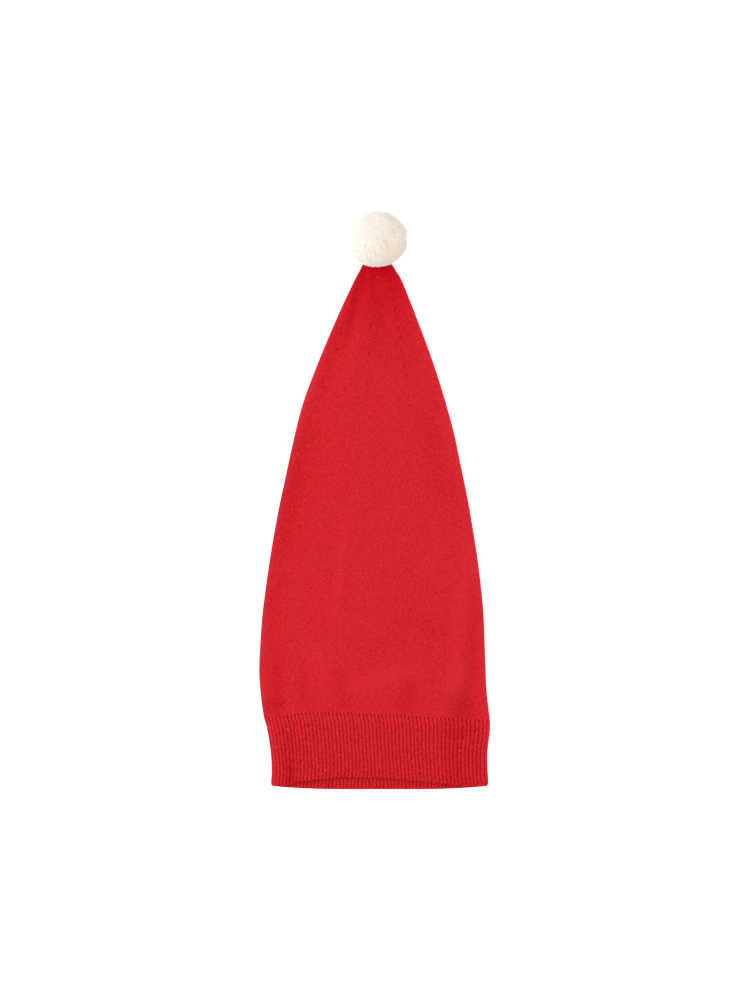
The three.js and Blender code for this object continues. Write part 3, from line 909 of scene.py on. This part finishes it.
def make_rib_band(knit, colours):
    """The ribbed band: a corrugated wall with a rounded rim."""
    around = knit.rib_count * RIB_POINTS
    top = knit.band_height
    lip_turn = np.linspace(0, math.pi, LIP_RINGS + 2)[1:-1]

    def wall_values(inner, lip, outer):
        """A value for each ring of the band's inside, of its lip and of its outside."""
        return np.concatenate([np.full(BAND_INNER_RINGS, inner), lip, np.full(BAND_RINGS, outer)])[:, None]

    inward = wall_values(1, 0.5 + 0.5 * np.cos(lip_turn), 0)
    lip_drop = wall_values(0, np.sin(lip_turn), 0)
    inside_along = np.linspace(top, 0, BAND_INNER_RINGS)
    along = np.concatenate([inside_along, np.zeros(LIP_RINGS), np.linspace(0, top, BAND_RINGS)])

    even = np.arange(around + 1) / around
    join_shift = np.interp(even[:-1], RIB_PLACES, JOIN_RIB_SHIFTS)
    rim_shift = np.interp(even[:-1], RIB_PLACES, RIM_RIB_SHIFTS)
    up_band = (along / top)[:, None]
    angles, _ = spaced_angles(along, even[:-1] + rim_shift + (join_shift - rim_shift) * up_band, top)
    rings = outline(along[:, None], angles, inward * knit.band_wall, top)

    ribs = even * knit.rib_count
    outside = rib_valley(ribs[:-1])[None, :]
    inside = rib_valley(ribs[:-1] + 0.5)[None, :]
    near_join = ease(top - NEAR_JOIN, top - AT_JOIN, along)[:, None]
    at_join = ease(top - AT_JOIN, top, along)[:, None]
    outer_depth = knit.rib_depth * outside * (1 + JOIN_DEEPER * near_join - JOIN_SHALLOWER * at_join)
    inner_depth = -knit.rib_depth * INNER_RIB_SHARE * inside
    rings = sunk(rings, outer_depth * (1 - inward) + inner_depth * inward)
    valley = outside * (1 - inward) + inside * inward
    rings[..., 1] -= lip_drop * (LIP_DROP - LIP_DIP * valley)
    rings[..., 2] = np.maximum(rings[..., 2], 0)
    faces = ring_faces(len(rings), around, True).tolist()
    finish = knit_finish("red rib knit", colours.rib_red, colours.rib_deep_red, colours, RIB_KNIT)
    piece = new_piece("knit_band", "rib_band", rings.reshape(-1, 3), faces, finish)
    sharpen(piece, [0, len(rings) - 1], around)

    wales = np.repeat((ribs + 0.5)[None, :], len(along), axis=0)
    courses = np.repeat(along[:, None] / knit.course_height, around + 1, axis=1)
    store_places(piece, "stitches", ring_corners(wales), ring_corners(courses))
    # Painted light at the band's top, painted shade by the rim and in the rib valleys, stored as sunk.
    top_light = TOP_PAINTED_LIGHT * ease(top - TOP_LIGHT_START, top - TOP_LIGHT_FULL, along)[:, None]
    rim_shade = RIM_PAINTED_SHADE * ease(RIM_SHADE_REACH, 0.0, along)[:, None]
    pale = top_light - rim_shade + painted_light_and_shade(rings[..., 0], along[:, None], angles)
    store_values(piece, "sunk", valley * (1 + JOIN_SHADE * near_join) * (1 - JOIN_SHADE * at_join) - pale)


def spread_directions(number, draws):
    """Directions spread over a sphere on a golden-angle spiral, then jittered."""
    i = np.arange(number) + 0.5
    up = 1 - 2 * i / number
    flat = np.sqrt(1 - up * up)
    turn = i * GOLDEN_ANGLE
    directions = np.stack([flat * np.cos(turn), flat * np.sin(turn), up], axis=-1)
    directions += draws.normal(0, SPREAD_JITTER / math.sqrt(number), directions.shape)
    return directions / np.linalg.norm(directions, axis=1, keepdims=True)


def crossways(directions):
    """Two directions square to each direction and to each other."""
    leaning = np.abs(directions[:, 2:]) < NEARLY_UPRIGHT
    first = np.cross(directions, np.where(leaning, [[0.0, 0.0, 1.0]], [[1.0, 0.0, 0.0]]))
    first /= np.linalg.norm(first, axis=1, keepdims=True)
    return first, np.cross(directions, first)


def pompom_reach(directions):
    """Radius of the pompom in each direction: its plan, plainer above and below, and its clumps."""
    angle = np.degrees(np.arctan2(directions[:, 1], directions[:, 0]))
    angle = np.where(angle < PLAN_START, angle + 360, angle)
    level = 1 - directions[:, 2] ** 2
    plan = through(PLAN_ANGLES, PLAN_RADII, angle)
    clumps = sum(height * noise_at(directions + shift, size) for height, size, shift in CLUMPS)
    return POMPOM_RADIUS + (plan - POMPOM_RADIUS) * level + clumps


def creases(directions):
    """How far each direction lies in a crease: fine ones, most over the top and right, and a hollow."""
    lines = ease(CREASE_WIDTH, 0.0, np.abs(noise_at(directions, CREASE_SIZE)))
    broken = ease(*BREAKS, noise_at(directions + BREAK_SHIFT, BREAK_SIZE))
    places = 0.5 + 0.5 * ease(0.0, CREASE_FULL, directions[:, 2] + CREASE_LEAN * directions[:, 0])
    hollow = ease(HOLLOW_RADIUS, HOLLOW_FULL, np.linalg.norm(directions - np.array(HOLLOW), axis=1))
    in_hollow = ease(HOLLOW_BREAK, 0.0, np.abs(noise_at(directions, HOLLOW_GRAIN)))
    return np.maximum(lines * broken * places, HOLLOW_DEPTH * hollow * in_hollow)


def painted_light_share(directions):
    """The share of painted light in each direction: lit-side cream on the left and the far side, where the
    light falls.
    """
    return ease(*LIGHT_RANGE, directions @ LIGHT_WAY)


def side_shade_share(directions):
    """How much painted shade darkens the yarn round the ball's sides in each direction, from 0 to 1."""
    right = directions[:, 0]
    share = np.clip(SIDE_SHADE + SIDE_SHADE_RIGHT * right, 0, 1)
    return share * ease(SIDE_TOP + SIDE_TOP_RIGHT * right, SIDE_FULL, np.abs(directions[:, 2]))


# Some of the pompom's yarn: points round its middle, arrays of faces, and each point's values for the finish
YarnPart = namedtuple("YarnPart", "points faces height end side lint")


def strands(roots, tips, sway, radii, profile):
    """Tapered strands from roots to tips, bent by their sway and closed by a point: the points, strand by
    strand, and arrays of quads and triangles."""
    axis = tips - roots
    first, second = crossways(axis / np.linalg.norm(axis, axis=1, keepdims=True))
    i = np.arange(STRAND_SIDES)
    turn = i * TURN / STRAND_SIDES
    spokes = np.cos(turn)[:, None] * first[:, None, :] + np.sin(turn)[:, None] * second[:, None, :]
    rings = []
    for share, width in profile:
        middles = roots + axis * share + sway * share**2
        rings.append(middles[:, None, :] + spokes * (radii * width)[:, None, None])
    points = np.concatenate([*rings, (tips + sway)[:, None, :]], axis=1)
    last = (len(profile) - 1) * STRAND_SIDES
    closing = np.full(STRAND_SIDES, last + STRAND_SIDES)
    fan = np.stack([last + i, last + (i + 1) % STRAND_SIDES, closing], axis=-1)
    starts = np.arange(len(roots))[:, None, None] * points.shape[1]
    quads = ring_faces(len(profile), STRAND_SIDES, False) + starts
    return points.reshape(-1, 3), [quads.reshape(-1, 4), (fan + starts).reshape(-1, 3)]


def clear_of_tip(points):
    """Whether points round the pompom's middle lie outside the crown's tip."""
    x, y, z = (points + POMPOM_MIDDLE).T
    along = y - RIM_Y
    left, right, floor, crest = section_at(np.minimum(along, TIP_ALONG))
    in_width = (x > left - TIP_GAP) & (x < right + TIP_GAP)
    in_height = (z > floor - TIP_GAP) & (z < crest + TIP_GAP)
    return ~((along < TIP_ALONG + TIP_GAP) & in_width & in_height)


def grown(kind, directions, roots, tips, radius, light, tip_light, draws):
    """The strands of one kind that stand clear of the crown's tip, each lighter towards its own tip, with
    painted shade towards its root.
    """
    sway = draws.normal(0, kind.sway, tips.shape)
    radii = radius * draws.uniform(*kind.widths, len(tips))
    clear = clear_of_tip(tips) & clear_of_tip(roots)
    points, faces = strands(roots[clear], tips[clear], sway[clear], radii[clear], kind.profile)
    shares = np.append(np.repeat([share for share, _ in kind.profile], STRAND_SIDES), 1.0)
    height = light[clear][:, None] + tip_light * shares
    end = np.repeat(draws.random(clear.sum()), len(shares))
    side = np.repeat(side_shade_share(directions[clear]), len(shares))
    return YarnPart(points, faces, height.ravel(), end, side, np.zeros(len(points)))


def packed_middle(ball):
    """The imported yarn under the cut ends."""
    mesh = bmesh.new()
    bmesh.ops.create_icosphere(mesh, subdivisions=CORE_SUBDIVISIONS, radius=1)
    directions = np.array([vertex.co for vertex in mesh.verts])
    faces = np.array([[vertex.index for vertex in face.verts] for face in mesh.faces])
    mesh.free()
    crease = creases(directions)
    reach = pompom_reach(directions) - ball.pile_radius * CORE_DEPTH_SHARE - ball.crease_depth * crease
    # Painted shade: deeper cream in the creases and the hollow.
    height = CORE_LIGHT - CREASE_DARK * crease + painted_light_share(directions)
    end = np.full(len(directions), CORE_END)
    no_lint = np.zeros(len(directions))
    return YarnPart(directions * reach[:, None], [faces], height, end, side_shade_share(directions), no_lint)


def cut_ends(ball, draws):
    """The cut ends of the yarn, square to the ball."""
    directions = spread_directions(ball.pile_count, draws)
    crease = creases(directions)
    reach = pompom_reach(directions) * (1 + draws.uniform(*CUT_END.reach, ball.pile_count))
    tips = directions * (reach - ball.crease_depth * crease)[:, None]
    roots = tips - directions * ball.pile_length
    # Painted shade: deeper cream in the creases and the hollow.
    light = END_LIGHT - CREASE_DARK * crease + painted_light_share(directions)
    return grown(CUT_END, directions, roots, tips, ball.pile_radius, light, END_TIP_LIGHT, draws)


def loose_fibres(ball, draws):
    """Fine loose fibres that lie over the cut ends and stand a little past them."""
    directions = spread_directions(ball.wisp_count, draws)
    reach = pompom_reach(directions) * (1 + draws.uniform(*WISP.reach, ball.wisp_count))
    tips = directions * reach[:, None]
    lengths = ball.wisp_length * draws.uniform(*WISP_LENGTHS, ball.wisp_count)
    roots = tips - directions * lengths[:, None] + draws.normal(0, WISP_ROOT_SWAY, tips.shape)
    return grown(WISP, directions, roots, tips, ball.wisp_radius, 1 + painted_light_share(directions), 0, draws)


def lint_bits():
    """The bits of red lint on the ball's top."""
    height = np.sqrt(POMPOM_RADIUS**2 - LINT_X * LINT_X - LINT_Y * LINT_Y)
    directions = np.stack([LINT_X, LINT_Y, height], axis=-1) / POMPOM_RADIUS
    tips = directions * (pompom_reach(directions) + LINT_PROUD)[:, None]
    roots = tips - directions * LINT_LENGTH
    points, faces = strands(roots, tips, np.zeros(tips.shape), LINT_RADII, CUT_END.profile)
    return YarnPart(points, faces, *np.ones((4, len(points))))


def make_pompom(ball, colours):
    """The pompom: a packed middle, cut ends, loose fibres and bits of lint."""
    draws = np.random.default_rng(SEED)
    parts = [packed_middle(ball), cut_ends(ball, draws), loose_fibres(ball, draws), lint_bits()]
    points = np.concatenate([part.points for part in parts]) + POMPOM_MIDDLE
    points[:, 2] = np.maximum(points[:, 2], 0)
    faces = []
    start = 0
    for part in parts:
        for corners in part.faces:
            faces += (corners + start).tolist()
        start += len(part.points)
    finish = yarn_finish("cream cut yarn", colours)
    piece = new_piece("yarn_pompom", "pompom", points, faces, finish)
    for name in ("height", "end", "side", "lint"):
        store_values(piece, name, np.concatenate([getattr(part, name) for part in parts]))


def make_stage(stage, colours):
    """A plain pale floor, even soft light with a softbox on the left, and a camera straight above."""
    scene = bpy.context.scene
    bpy.ops.mesh.primitive_circle_add(vertices=FLOOR_SIDES, radius=stage.floor_radius, fill_type="NGON")
    floor = bpy.context.object
    floor.name = "floor"
    floor.data.materials.append(floor_finish("pale floor", colours.floor_white, stage.floor_glow))

    world = bpy.data.worlds.new("studio")
    world.use_nodes = True
    sky = world.node_tree.nodes["Background"]
    sky.inputs["Color"].default_value = (1, 1, 1, 1)
    sky.inputs["Strength"].default_value = stage.sky_strength
    scene.world = world

    key = bpy.data.lights.new("key softbox", "AREA")
    key.shape = "DISK"
    key.size = stage.key_size
    key.energy = stage.key_power
    softbox = bpy.data.objects.new("key softbox", key)
    softbox.location = KEY_PLACE
    softbox.rotation_euler = (-KEY_PLACE).to_track_quat("-Z", "Y").to_euler()
    scene.collection.objects.link(softbox)

    camera = bpy.data.cameras.new("camera")
    camera.lens = stage.lens_mm
    camera.sensor_width = SENSOR_MM
    eye = bpy.data.objects.new("camera", camera)
    distance = stage.view_length * stage.lens_mm / SENSOR_MM
    eye.location = (stage.view_x, stage.view_y, stage.focus_height + distance)
    scene.collection.objects.link(eye)
    scene.camera = eye
    scene.view_settings.view_transform = "Standard"


class SANTA_HAT_OT_stage(bpy.types.Operator):
    """Make the floor, the light and the camera"""

    bl_idname = "santa_hat.stage"
    bl_label = "Stage"

    def execute(self, context):
        make_stage(context.scene.hat_stage, context.scene.hat_colours)
        return {"FINISHED"}


class SANTA_HAT_OT_crown(bpy.types.Operator):
    """Make the plain-knit crown"""

    bl_idname = "santa_hat.crown"
    bl_label = "Crown"

    def execute(self, context):
        make_crown(context.scene.hat_knit, context.scene.hat_colours)
        return {"FINISHED"}


class SANTA_HAT_OT_rib_band(bpy.types.Operator):
    """Make the ribbed band"""

    bl_idname = "santa_hat.rib_band"
    bl_label = "Ribbed Band"

    def execute(self, context):
        make_rib_band(context.scene.hat_knit, context.scene.hat_colours)
        return {"FINISHED"}


class SANTA_HAT_OT_pompom(bpy.types.Operator):
    """Make the pompom of cut yarn"""

    bl_idname = "santa_hat.pompom"
    bl_label = "Pompom"

    def execute(self, context):
        make_pompom(context.scene.hat_pompom, context.scene.hat_colours)
        return {"FINISHED"}


OPERATORS = (SANTA_HAT_OT_stage, SANTA_HAT_OT_crown, SANTA_HAT_OT_rib_band, SANTA_HAT_OT_pompom)
GROUPS = {
    "hat_knit": KnitSizes,
    "hat_pompom": PompomSizes,
    "hat_colours": HatColours,
    "hat_stage": StageSettings,
}


class SANTA_HAT_PT_sidebar(bpy.types.Panel):
    """The hat's pieces and sizes"""

    bl_idname = "SANTA_HAT_PT_sidebar"
    bl_label = "Santa Hat"
    bl_space_type = "VIEW_3D"
    bl_region_type = "UI"
    bl_category = "Santa Hat"

    def draw(self, context):
        for operator in OPERATORS:
            self.layout.operator(operator.bl_idname)
        for name in GROUPS:
            group = getattr(context.scene, name)
            column = self.layout.column(align=True)
            for prop in group.bl_rna.properties:
                if not prop.is_readonly and prop.identifier != "name":
                    column.prop(group, prop.identifier)


CLASSES = (*GROUPS.values(), *OPERATORS, SANTA_HAT_PT_sidebar)


def register():
    for cls in CLASSES:
        bpy.utils.register_class(cls)
    for name, group in GROUPS.items():
        setattr(bpy.types.Scene, name, PointerProperty(type=group))


def unregister():
    for name in GROUPS:
        delattr(bpy.types.Scene, name)
    for cls in reversed(CLASSES):
        bpy.utils.unregister_class(cls)


def main():
    register()
    bpy.ops.santa_hat.stage()
    bpy.ops.santa_hat.crown()
    bpy.ops.santa_hat.rib_band()
    bpy.ops.santa_hat.pompom()


if __name__ == "__main__":
    main()
